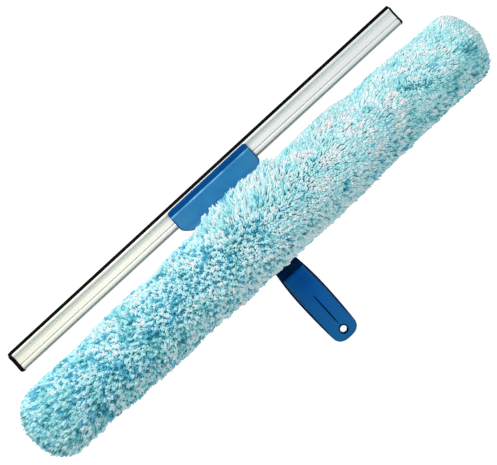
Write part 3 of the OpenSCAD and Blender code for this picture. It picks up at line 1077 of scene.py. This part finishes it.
def bodyRadius(x):
    part = np.clip(np.abs(x) / sleeveBox[1][0], 0, 1)
    more = sleeve["endRadius"] - sleeve["middleRadius"]
    return sleeve["middleRadius"] + more * part ** 2 * (3 - 2 * part)


def tipRadius(x):
    # radius of the pile's tips at a place along the bar
    reach = np.minimum(x - sleeve["leftEnd"], sleeve["rightEnd"] - x)
    past = np.clip(1 - reach / sleeve["endRound"], 0, 1)
    return bodyRadius(x) * (1 - past ** sleeve["endPower"]) ** (1 / sleeve["endPower"])


def sleeveProfile(count=4000):
    # place along the bar, radius, and the outward normal, at even steps from end to end
    turn = np.linspace(0, math.pi, count)
    x = sleeve["leftEnd"] + (sleeve["rightEnd"] - sleeve["leftEnd"]) * (1 - np.cos(turn)) / 2
    r = tipRadius(x)
    run = np.concatenate([[0], np.cumsum(np.hypot(np.diff(x), np.diff(r)))])
    even = np.linspace(0, run[-1], count)
    x, r = np.interp(even, run, x), np.interp(even, run, r)
    dx, dr = np.gradient(x), np.gradient(r)
    size = np.hypot(dx, dr)
    return even, x, r, -dr / size, dx / size


def buildBacking():
    _, x, r, nx, nr = sleeveProfile()
    ringX, ringR = x - nx * sleeve["pileLength"], r - nr * sleeve["pileLength"]
    picks = np.linspace(60, len(x) - 60, 80).astype(int)
    places = [float(ringX[i]) for i in picks]
    radii = [max(0.001, float(ringR[i])) for i in picks]
    backing = addRod("sleeveBacking", ((places[0] + places[-1]) / 2, 0, 0), 1, places[-1] - places[0], 96)
    sliceAlong(backing, 0, places[1:-1])
    for place, radius in zip(places, radii):
        resizeRing(backing, 0, place, (1, radius, radius))
    moveWhole((0, barY, barZ))
    half, gap, long = sleeve["slitHalf"], sleeve["barGap"], sleeve["barRoomX"]
    tapeY, tapeZ = sleeve["tapeHalfY"], sleeve["tapeHalfZ"]
    barLow, barHigh = barBox
    tapeLow = (sleeveBox[0][0] - 0.01, barY - tapeY, barZ - tapeZ)
    rooms = [
        ((-long, barLow[1] - gap, barLow[2] - gap), (long, barHigh[1] + gap, barHigh[2] + gap)),
        ((-half, slitLowY, 0), (half, jawStartY + sleeve["slitGap"], barZ)),
        ((-half, jawStartY, 0), (half, jawTopY, clamp["neckZ"] + sleeve["slitGap"])),
        (tapeLow, (tapeBox[1][0] + gap, barY + tapeY, barZ + tapeZ)),
    ]
    for low, high in rooms:
        cutAway(backing, addBlock("room", low, high))
    smoothShade(backing, 50)
    finished(backing, "handle", "sleeve_cloth", clothBlue, "washer_sleeve")


binding = {
    "width": 0.0034,
    "thick": 0.0006,
    "corner": 0.004,
    "cuts": 12,
    "stitchDepth": 0.18,
    "stitched": (2, 3, 4),
}


def slitEdge(half, span):
    # the outline of the slit laid flat, in order round it, and the direction away from it
    plan = addPlan("slitPlan", (-half, -span, 0), (half, span, 0), binding["corner"], 5)
    bpy.ops.mesh.delete(type="ONLY_FACE")
    bpy.ops.mesh.select_all(action="SELECT")
    bpy.ops.mesh.subdivide(number_cuts=binding["cuts"])
    leaveEdit()
    edge = np.array([vert.co for vert in plan.data.vertices])
    edge = edge[np.argsort(np.arctan2(edge[:, 1] / span, edge[:, 0] / half))]
    along = np.roll(edge, -1, axis=0) - np.roll(edge, 1, axis=0)
    away = np.stack([along[:, 1], -along[:, 0]], axis=1) / np.linalg.norm(along, axis=1)[:, None]
    removePieces(plan)
    return edge, away


def buildBinding():
    # a folded tape sewn round the mouth of the slit, on the curve of the sleeve
    radius = sleeve["middleRadius"] - sleeve["pileLength"]
    lowTurn = -math.acos((slitLowY - barY) / radius)
    highTurn = math.asin((clamp["neckZ"] + sleeve["slitGap"] - barZ) / radius)
    middle = (lowTurn + highTurn) / 2
    edge, away = slitEdge(sleeve["slitHalf"], (highTurn - lowTurn) * radius / 2)
    w, t = binding["width"], binding["thick"]
    section = [(w, 0.0001), (w * 0.94, t * 1.5), (w * 0.62, t * 1.9), (w * 0.5, t * 1.55),
               (w * 0.38, t * 1.9), (w * 0.1, t * 1.6), (-t * 0.6, 0), (-t * 0.6, -t * 2), (w * 0.2, -t * 3)]
    bpy.ops.mesh.primitive_grid_add(x_subdivisions=len(edge), y_subdivisions=len(section) - 1, size=1)
    tape = settle(bpy.context.object, "slitBinding")
    count = len(edge) + 1
    for i, vert in enumerate(tape.data.vertices):
        k, j = i % count % len(edge), i // count
        out, up = section[j]
        deep = t * binding["stitchDepth"] if j in binding["stitched"] else 0
        flat = edge[k, :2] + away[k] * out
        turn, r = middle + flat[1] / radius, radius + up + math.cos(2 * math.pi * k / 3) * deep
        vert.co = (flat[0], barY + r * math.cos(turn), barZ + r * math.sin(turn))
    editAll()
    bpy.ops.mesh.remove_doubles(threshold=2 * tiny)
    faceOutward()
    addModifier(tape, "SOLIDIFY", thickness=t * 0.6, offset=-1)
    addModifier(tape, "SUBSURF", levels=1, render_levels=1)
    smoothShade(tape, 60)
    finished(tape, "handle", "binding_tape", bindingBlue, "slit_binding")


closure = {
    "gap": 0.00005,
    "weave": 0.0005,
    "hem": 0.0006,
    "nap": 0.00045,
    "napRough": 0.00038,
    "ripple": 0.00018,
    "ripples": 420,
    "edgeBreak": 0.0002,
}


def buildClosure(name, node, side, seed):
    # one half of the hook and loop closure: a woven strip with a nap of loops towards the other half
    low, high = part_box(node)
    hem, nap = closure["hem"], closure["nap"]
    inner = barY + side * closure["gap"]
    outer = high[1] if side > 0 else low[1]
    strip = addBlock(name, (low[0], min(inner, outer), low[2]), (high[0], max(inner, outer), high[2]))
    for axis in (0, 2):
        sliceAlong(strip, axis, evenPlaces(low[axis], high[axis], closure["weave"]))
    pickVerts(strip, lambda co: abs(co.y - inner) < tiny and low[0] + hem < co.x < high[0] - hem
              and low[2] + hem < co.z < high[2] - hem)
    bpy.ops.transform.translate(value=(0, side * nap, 0))
    leaveEdit()
    rng = np.random.default_rng(seed)
    for vert in strip.data.vertices:
        if abs(vert.co.y - inner - side * nap) < tiny:
            vert.co.y -= side * closure["napRough"] * rng.uniform(0, 1)
        if abs(vert.co.y - inner) > hem:
            vert.co.y -= side * closure["ripple"] * math.sin(vert.co.z * closure["ripples"])
    bevelEdges(strip, closure["edgeBreak"], 2, angle=60)
    smoothShade(strip, 60)
    finished(strip, "handle", "closure_tape", tapeWhite, node)


# the pile

pile = {
    "tuftPitch": 0.00138,
    "tuftScatter": 0.42,
    "tuftRadius": 0.00088,
    "tuftRings": [(0, 0.7), (0.45, 0.95), (0.84, 0.9)],
    "rootDepth": 0.0005,
    "rootPart": 0.4,
    "mostTufts": 9000,
    "mostSlant": 1.65,
    "twist": 1.5,
    "seed": 11,
    # sizes of the bumps in each smooth noise
    "swellSize": 0.045,
    "swaySize": 0.019,
    "lockSize": 0.0054,
    "crestSize": 0.010,
    "patchSize": 0.020,
    "fleckSize": 0.0042,
    "rosySize": 0.009,
    "blueSize": 0.022,
}
parting = {
    "x": 0.176,
    "y": 0.029,
    "slope": 0.7,
    "halfLength": 0.016,
    "halfWidth": 0.010,
    "fold": 0.003,
    # width and spacing of the painted shadow lines under the parted tufts
    "strokeWidth": 0.0023,
    "strokeGap": 0.0016,
}

# Each rule is an amount, the regions of the sleeve it holds in, and then pairs of places along the bar:
# where it begins and where it is full, or for a fall, where it is gone and where the fall begins.
leanRules = [
    (-0.95, "all", -0.17, -0.225),
    (-0.25, "all", -0.03, -0.12),
    (0.75, "right"),
    (0.4, "right", 0.06, 0.10),
    (0.8, "crest", -0.015, 0.035),
    (-1.2, "parting"),
    (0.35, "middle", 0.105, 0.045),
]
lengthRules = [
    (0.0014, "over", 0.03, 0.045, 0.07, 0.052),
    (0.0026, "above", 0.05, 0.07, 0.15, 0.10),
    (-0.0024, "above", 0.145, 0.20),
    (-0.0018, "above", -0.17, -0.21),
    (0.0016, "below", -0.09, -0.13, -0.235, -0.215),
    (-0.0014, "below", 0.08, 0.10),
    (-0.0024, "below", 0.10, 0.13),
]
# the rows for the top, left top, crown, brow, upper, waist, front, front upper, front bottom, bottom and edge
# regions lie by the side each tuft faces: painted light and shade over the yarn's own pattern
paleAndShadeRules = [
    (0.2, "all"),
    (0.22, "edge"),
    (-0.25, "edge", -0.10, -0.16),
    (0.45, "all", -0.04, 0.10),
    (0.15, "all", -0.03, 0.01, 0.09, 0.05),
    (0.4, "crest"),
    (0.1, "centre"),
    (0.15, "top"),
    (-0.45, "top", -0.14, -0.22),
    (-0.25, "top", -0.17, -0.21),
    (0.2, "left top"),
    (-0.3, "waist", -0.14, -0.22),
    (0.35, "crown", 0.15, 0.19),
    (-0.35, "brow", 0.06, 0.09),
    (0.4, "upper", 0.05, 0.09, 0.18, 0.14),
    (-0.45, "front upper", 0.155, 0.20),
    (-0.3, "front", -0.05, -0.09),
    (0.18, "front bottom", -0.05, -0.09),
    (-0.55, "bottom", 0.05, 0.16),
    (0.25, "bottom", -0.11, -0.05, 0.13, 0.07),
    # painted shadow: dark lines in the parting
    (-1.4, "stroke"),
]
rosyRules = [
    (0.5, "left top"),
    (-0.5, "left front"),
    (0.4, "top", 0.16, 0.20),
    (-0.5, "centre"),
]
blueRules = [
    (0.45, "all", 0.03, -0.06),
    (-0.8, "all", 0.05, 0.14),
    (0.3, "all", 0.06, 0.09),
    (-0.7, "all", 0.12, 0.16),
    (-1.1, "all", -0.18, -0.24),
    (0.5, "centre"),
    (0.4, "left", -0.14, -0.10),
    (-0.5, "below"),
    (-0.7, "below", -0.16, -0.10, 0.12, 0.06),
]


def ramp(value, start, end):
    part = np.clip((value - start) / (end - start), 0, 1)
    return part * part * (3 - 2 * part)


def addUp(rules, x, regions):
    total = 0
    for amount, names, *places in rules:
        part = amount
        for name in names.split():
            part = part * regions[name]
        for start, full in zip(places[::2], places[1::2]):
            part = part * ramp(x, start, full)
        total = total + part
    return total


def pileRegions(x, y, turn):
    # how far each tuft lies in each region of the sleeve, from 0 to 1
    cosT, sinT = np.cos(turn), np.sin(turn)
    over = np.clip(np.cos(turn - math.radians(20)), 0, 1) ** 1.5
    crest = ramp(x, -0.046, -0.026) * ramp(x, 0.054, 0.040) * over
    top, bottom = ramp(y, barY, barY + 0.03), ramp(y, barY + 0.005, barY - 0.03)
    across = y - parting["y"] + parting["slope"] * (x - parting["x"])
    parted = np.exp(-((x - parting["x"]) / parting["halfLength"]) ** 2)
    parted = parted * np.exp(-(across / parting["halfWidth"]) ** 2) * (sinT > 0)
    # painted shadow: dark lines across the parting, where the parted tufts would shade those below
    strokes = 0.55 + 0.45 * np.sin(x / parting["strokeGap"])
    return {
        "all": 1,
        "left": ramp(x, -0.02, -0.06),
        "coarse": ramp(x, 0.065, -0.06),
        "centre": ramp(x, -0.03, 0) * ramp(x, 0.075, 0.045),
        "middle": ramp(x, -0.03, 0.01) * (1 - crest),
        "right": ramp(x, 0.045, 0.105),
        "over": over,
        "crest": crest,
        "above": np.clip(cosT, 0, 1),
        "below": np.clip(-cosT, 0, 1) * np.clip(sinT + 0.4, 0, 1),
        "brow": ramp(y, barY + 0.022, barY + 0.032),
        "crown": ramp(y, barY + 0.016, barY + 0.026),
        "top": top,
        "upper": 1 - bottom,
        "waist": (1 - top) * (1 - bottom),
        "front": ramp(y, barY + 0.01, barY - 0.012),
        "lower": ramp(y, barY + 0.02, barY - 0.01),
        "bottom": bottom,
        "edge": ramp(y, barY - 0.014, barY - 0.028),
        "parting": parted,
        "fold": parted * np.tanh(across / parting["fold"]),
        "stroke": parted * strokes * np.exp(-(across / parting["strokeWidth"]) ** 2),
    }


def buildTuft():
    # one tuft, a unit high: a four-sided yarn, fuller towards its cut tip
    deselectAll()
    bpy.ops.mesh.primitive_cone_add(vertices=4, radius1=1, radius2=0, depth=1, end_fill_type="NOTHING",
                                    location=(0, 0, 0.5))
    tuft = settle(bpy.context.object, "tuft")
    sliceAlong(tuft, 2, [height for height, width in pile["tuftRings"][1:]])
    for height, width in pile["tuftRings"]:
        size = width / (1 - height)
        resizeRing(tuft, 2, height, (size, size, 1))
    leaveEdit()
    return tuft


def repeatMesh(name, template, places, materials, lowPart):
    # one mesh with a copy of the template for each row of places; its lower faces take the first material
    source = template.data
    count, each = places.shape[:2]
    corners = np.array([v for face in source.polygons for v in face.vertices])
    sizes = np.array([len(face.vertices) for face in source.polygons])
    starts = np.concatenate([[0], np.cumsum(sizes)[:-1]])
    isLow = np.array([0 if face.center.z < lowPart else 1 for face in source.polygons])
    step = np.arange(count)[:, None]
    mesh = bpy.data.meshes.new(name)
    mesh.vertices.add(count * each)
    mesh.vertices.foreach_set("co", places.astype(np.float32).ravel())
    mesh.loops.add(count * len(corners))
    mesh.loops.foreach_set("vertex_index", (corners[None, :] + each * step).astype(np.int32).ravel())
    mesh.polygons.add(count * len(sizes))
    mesh.polygons.foreach_set("loop_start", (starts[None, :] + len(corners) * step).astype(np.int32).ravel())
    mesh.polygons.foreach_set("material_index", np.tile(isLow, count).astype(np.int32))
    mesh.update(calc_edges=True)
    mesh.validate()
    for material in materials:
        mesh.materials.append(material)
    piece = bpy.data.objects.new(name, mesh)
    bpy.context.collection.objects.link(piece)
    piece.data.shade_smooth()
    return piece


def unit(rows):
    return rows / np.linalg.norm(rows, axis=1)[:, None]


def waveField(rng, spots, size, count=20):
    # smooth noise with bumps of about the given size, and its slope
    turns = rng.normal(size=(count, 3))
    turns = unit(turns) * (2 * math.pi / size) * rng.uniform(0.7, 1.3, count)[:, None]
    phase = spots @ turns.T + rng.uniform(0, 2 * math.pi, count)
    height = np.cos(phase).sum(axis=1) * math.sqrt(2 / count)
    slope = -(np.sin(phase) @ turns) * math.sqrt(2 / count) * size / (2 * math.pi)
    return height, slope


def tuftRoots(rng):
    along, x, r, nx, nr = sleeveProfile()
    pitch, scatter = pile["tuftPitch"], pile["tuftScatter"]
    rows = []
    for place in np.arange(along[0] + 0.0008, along[-1] - 0.0006, pitch):
        ring = max(3, round(2 * math.pi * np.interp(place, along, r) / pitch))
        turn = np.arange(ring) + rng.uniform(0, 1) + rng.uniform(-scatter, scatter, ring)
        turn = turn * 2 * math.pi / ring
        spot = np.clip(place + rng.uniform(-scatter, scatter, ring) * pitch, along[0], along[-1])
        rows.append(np.stack([spot, turn], axis=1))
    spot, turn = np.concatenate(rows).T
    return [np.interp(spot, along, values) for values in (x, r, nx, nr)] + [turn]


def buildPile():
    rng = np.random.default_rng(pile["seed"])
    x, r, nx, nr, turn = tuftRoots(rng)
    cosT, sinT = np.cos(turn), np.sin(turn)
    tip = np.stack([x, barY + r * cosT, barZ + r * sinT], axis=1)
    normal = np.stack([nx, nr * cosT, nr * sinT], axis=1)
    alongBar = np.stack([nr, -nx * cosT, -nx * sinT], axis=1)
    regions = pileRegions(x, tip[:, 1], turn)
    coarse, crest, edge, below = (regions[name] for name in ("coarse", "crest", "edge", "below"))

    # the lie of the pile: swept out to the left end, fanned out over the clamp, parted near the right
    lowSwell, _ = waveField(rng, tip, pile["swellSize"])
    _, sway = waveField(rng, tip, pile["swaySize"])
    lockTop, lock = waveField(rng, tip, pile["lockSize"])
    crestTop, _ = waveField(rng, tip, pile["crestSize"])
    jitter = rng.normal(size=(len(x), 3))
    leanY = 0.75 * crest - 0.45 * regions["middle"] * regions["lower"] + 0.9 * regions["fold"]
    lean = alongBar * addUp(leanRules, x, regions)[:, None] + 0.18 * sway + 0.12 * jitter
    lean += (0.2 + 0.28 * coarse + 0.25 * edge)[:, None] * lock
    lean[:, 1] += leanY * 0.9
    lean[:, 2] -= 0.18 * below
    across = lean - normal * (lean * normal).sum(axis=1)[:, None]
    slant = np.minimum(pile["mostSlant"], np.sqrt(1 + (across ** 2).sum(axis=1)))
    length = sleeve["pileLength"] * slant * (1 + (0.06 + 0.03 * edge) * rng.normal(size=len(x)))
    length += addUp(lengthRules, x, regions) + 0.0006 * lowSwell + 0.0005 * coarse * lockTop
    stand = 1 + 0.4 * crestTop + 0.3 * jitter[:, 0] + 0.3 * ramp(x, -0.01, 0.01)
    length += 0.0035 * crest * np.clip(stand, 0.2, 2.4) + 0.0016 * np.exp(-(x / 0.014) ** 2) * below

    # colour: pale tips on the locks with aqua and blue yarn between them, bluer to the left, with painted
    # light and shade by the side each tuft faces and painted shadow lines in the parting
    patch, _ = waveField(rng, tip, pile["patchSize"])
    fleck, _ = waveField(rng, tip, pile["fleckSize"])
    pale = 0.4 * patch + (0.18 + 0.26 * coarse) * lockTop + 0.35 * fleck
    pale += (0.35 + 0.35 * edge) * rng.normal(size=len(x)) + edge * (0.5 * fleck + 0.3 * lockTop)
    pale += addUp(paleAndShadeRules, x, regions)
    rosy, _ = waveField(rng, tip, pile["rosySize"])
    rosy += addUp(rosyRules, x, regions)
    pale += 0.25 * np.clip(rosy - 0.7, 0, 1)
    blue, _ = waveField(rng, tip, pile["blueSize"])
    blue += 0.3 * rng.normal(size=len(x)) + addUp(blueRules, x, regions)

    direction = unit(normal + lean)
    root = tip - normal * (sleeve["pileLength"] + pile["rootDepth"])
    end = root + direction * length[:, None]
    keep = clearOfHandle(root, end)
    bend = root + normal * (length * 0.45)[:, None] + direction * (length * 0.08)[:, None]

    # a frame across each tuft, turned as a twisted yarn is
    side = unit(np.cross(direction, np.array([0.3, 0.5, 0.81]) + 0.2 * jitter))
    other = np.cross(direction, side)
    width = pile["tuftRadius"] * rng.uniform(0.8, 1.25, len(x)) * (1 + 0.1 * coarse - 0.1 * regions["right"])
    spin = rng.uniform(0, math.pi, len(x))

    template = buildTuft()
    shape = np.array([vert.co for vert in template.data.vertices])
    part = shape[:, 2][None, :, None]
    path = (1 - part) ** 2 * root[:, None] + 2 * part * (1 - part) * bend[:, None]
    path += part ** 2 * end[:, None]
    twist = spin[:, None] + pile["twist"] * shape[:, 2][None, :]
    wide = shape[:, 0] * np.cos(twist) - shape[:, 1] * np.sin(twist)
    deep = shape[:, 0] * np.sin(twist) + shape[:, 1] * np.cos(twist)
    section = wide[:, :, None] * side[:, None] + deep[:, :, None] * other[:, None]
    tufts = path + section * width[:, None, None]

    shade = chooseYarn(pale, blue, rosy + 0.3 * rng.normal(size=len(x)))
    for i, (name, colour) in enumerate(yarns):
        mine = np.flatnonzero(keep & (shade == i))
        mine = mine[np.argsort(x[mine], kind="stable")]
        yarn = newMaterial("yarn" + name, colour, 0.85, **yarnFinish)
        for k, group in enumerate(np.array_split(mine, math.ceil(len(mine) / pile["mostTufts"]))):
            piece = repeatMesh("pile" + name + str(k + 1), template, tufts[group], [pileRoot, yarn],
                               pile["rootPart"])
            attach(piece, "handle")
            print(piece.name, len(group), "tufts")
    removePieces(template)


def inside(spots, low, high):
    return np.all((spots > low) & (spots < high), axis=1)


def clearOfHandle(root, end):
    # moves the tips off the clamp and the grip, and leaves out the tufts that the slit has no cloth for
    jawTop, gripFace = clamp["neckZ"] + 0.0015, 0.0195
    # half width, from and to along Y, the height to stay over, the lowest root that counts, and a push back
    lifts = [
        (0.047, jawStartY, far, jawTop, 0.02, 0.4),
        (0.016, -far, saddleLowY, deckZ + 0.0025, -far, 0),
        (0.017, -far, gripTopY, gripFace, 0.01, 0),
    ]
    for half, lowY, highY, rest, rootZ, push in lifts:
        above = inside(end, (-half, lowY, -far), (half, highY, rest)) & (root[:, 2] > rootZ)
        lift = np.clip(rest - end[:, 2], 0, None) * above
        end[:, 2] += lift
        end[:, 1] += push * lift
    half, wide = sleeve["slitHalf"] + binding["width"], 0.0185
    tapeY, tapeZ = sleeve["tapeHalfY"] + 0.0002, sleeve["tapeHalfZ"]
    slitEndY = slitLowY - binding["width"]
    inSlit = inside(root, (-half, slitEndY, -far), (half, jawStartY + 0.0025, barZ - 0.008))
    underJaw = inside(root, (-half, jawStartY, -far), (half, far, clamp["neckZ"] + 0.0025))
    inTape = inside(root, (-far, barY - tapeY, barZ - tapeZ), (tapeBox[1][0], barY + tapeY, barZ + tapeZ))
    stray = inside(end, (-wide, saddleLowY - 0.001, -far), (wide, jawStartY + 0.001, barZ - 0.012))
    return ~(inSlit | underJaw | inTape | stray)


yarns = [
    ("White", (0.82, 0.955, 0.955)),
    ("Blush", (0.92, 0.895, 0.91)),
    ("Ice", (0.59, 0.91, 0.945)),
    ("Mint", (0.46, 0.87, 0.875)),
    ("Aqua", (0.32, 0.78, 0.825)),
    ("Sky", (0.14, 0.57, 0.73)),
    ("Surf", (0.17, 0.59, 0.66)),
    ("Cyan", (0.05, 0.39, 0.55)),
    ("Teal", (0.10, 0.44, 0.495)),
    ("Deep", (0.02, 0.27, 0.37)),
]
yarnFinish = {"Sheen Weight": 0.3, "Sheen Roughness": 0.4, "Specular IOR Level": 0.1}
# painted shade and light: one teal for the lower part of every tuft, darker than the pale yarns as the shade
# among the roots, and lighter than the dark yarns to lift the gaps
pileRoot = newMaterial("pileRoot", (0.24, 0.71, 0.79), 0.95)
# below each level of pale, the number of the yarn to take, and of the one for bluer places
yarnLevels = [(1.25, 2, 2), (0.5, 3, 2), (0.0, 4, 5), (-0.55, 6, 5), (-1.1, 8, 7), (-1.75, 9, 9)]


def chooseYarn(pale, blue, rosy):
    # the number of the yarn for each tuft, from how pale, blue and rosy its place is
    shade = np.where(rosy > 0.4, 1, 0)
    for limit, green, cool in yarnLevels:
        shade = np.where(pale < limit, np.where(blue > 0.15, cool, green), shade)
    return shade


buildBacking()
buildBinding()
buildClosure("closureHook", "hook_tape", 1, 3)
buildClosure("closureLoop", "loop_tape", -1, 4)
buildPile()
print("sleeve built")
